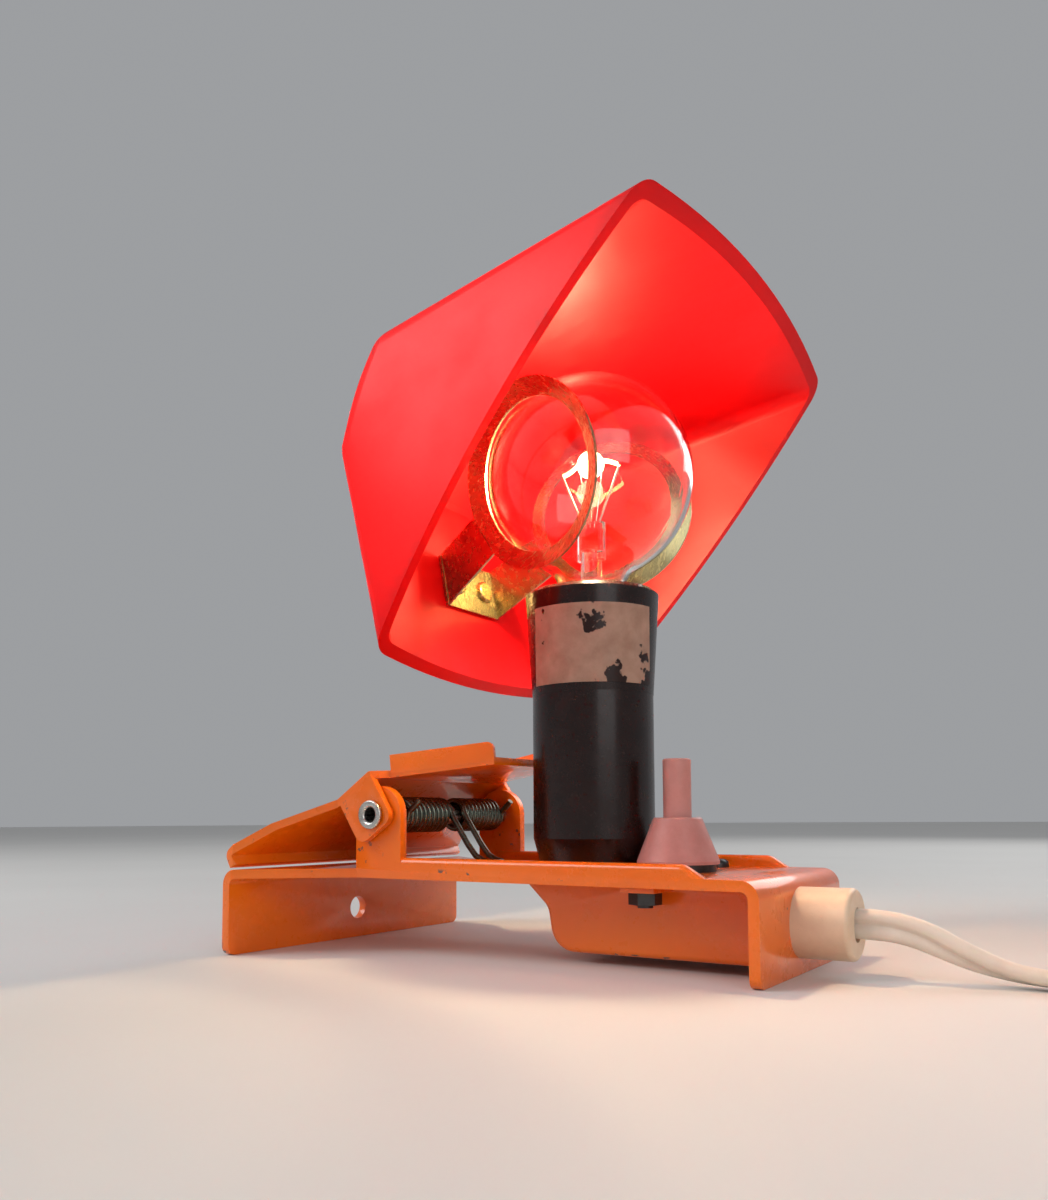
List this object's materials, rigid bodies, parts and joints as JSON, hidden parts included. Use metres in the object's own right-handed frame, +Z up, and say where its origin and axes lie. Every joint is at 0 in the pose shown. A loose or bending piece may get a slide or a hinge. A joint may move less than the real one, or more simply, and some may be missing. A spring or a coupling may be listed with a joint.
{
  "type": "darkroom safelight",
  "caption": "Clamp-on lamp with a sheet-metal spring-clamp base, small screw lampholder, clear round bulb and a red translucent shade clipped to the bulb.",
  "frame": {"origin": "centre of the bounding box of the lamp without its cord, at the table under the base's feet", "axes": "+X along the base from the wall flange to the cord end, +Y across the base, +Z up"},
  "size_m": [0.2467, 0.1098, 0.1444],
  "materials": {
    "orange_paint": "gloss enamel, worn at the edges",
    "zinc_steel": "zinc plated",
    "spring_steel": "oiled spring wire",
    "dark_steel": "blackened",
    "bakelite": "moulded phenolic",
    "brass": "bare",
    "ceramic": "unglazed porcelain",
    "label_foil": "aged paper",
    "bulb_glass": "clear",
    "nickel": "nickel plated",
    "black_glass": "glossy",
    "solder": "soft solder",
    "filament": "glowing tungsten",
    "pink_plastic": "aged cream plastic, satin",
    "cream_plastic": "satin",
    "core_brown": "insulated core",
    "core_blue": "insulated core",
    "cord_vinyl": "soft vinyl",
    "tie_black": "soft band",
    "red_shade": "translucent satin",
    "clip_steel": "brass-plated spring steel"
  },
  "bodies": {
    "base": {"base_bracket": "orange_paint", "wiring_cover": "orange_paint", "cover_screws": "dark_steel", "cover_nuts": "dark_steel", "hinge_pin": "zinc_steel", "torsion_spring": "spring_steel", "lampholder_body": "bakelite", "lampholder_skirt": "bakelite", "thread_shell": "brass", "holder_insert": "ceramic", "centre_contact": "brass", "holder_terminals": "brass", "holder_nipple": "zinc_steel", "nipple_nut": "zinc_steel", "nipple_ring": "zinc_steel", "rating_label": "label_foil", "switch_nut": "dark_steel", "switch_collar": "pink_plastic", "switch_body": "bakelite", "switch_spring": "spring_steel", "switch_terminals": "brass", "cable_grommet": "cream_plastic", "cord_anchor": "cream_plastic", "live_wire": "core_brown", "neutral_wire": "core_blue", "switch_wire": "core_brown", "cord": "cord_vinyl", "cord_coil": "cord_vinyl", "cord_tail": "cord_vinyl", "cord_tie": "tie_black", "plug_body": "cream_plastic", "plug_pins": "nickel"},
    "lever": {"clamp_lever": "orange_paint"},
    "button": {"push_button": "pink_plastic"},
    "bulb": {"bulb_glass": "bulb_glass", "bulb_cap": "nickel", "cap_insulator": "black_glass", "cap_contact": "solder", "glass_stem": "bulb_glass", "lead_wires": "nickel", "filament": "filament"},
    "shade": {"shade_shell": "red_shade", "bulb_clip": "clip_steel", "clip_rivets": "brass"}
  },
  "joints": [
    {"name": "jaw_open", "type": "hinge", "parent": "base", "child": "lever", "pos_m": [-0.03295, -0.01063, 0.0302], "axis": [0, 1, 0], "range_deg": [0, 25], "stiffness_Nm_per_rad": 0.4, "springref_deg": -34.38, "deforming": ["torsion_spring"]},
    {"name": "button_press", "type": "slide", "parent": "base", "child": "button", "axis": [0, 0, -1], "range_m": [0, 0.003], "stiffness_N_per_m": 300, "springref_m": -0.002, "deforming": ["switch_spring"]},
    {"name": "bulb_turn", "type": "hinge", "parent": "base", "child": "bulb", "pos_m": [0.00705, -0.01063, 0.1038], "axis": [0, 0, 1], "range_deg": [-90, 90]},
    {"name": "shade_tilt", "type": "hinge", "parent": "bulb", "child": "shade", "pos_m": [0.00705, -0.01063, 0.1038], "axis": [0, 1, 0], "range_deg": [-12, 30]}
  ]
}
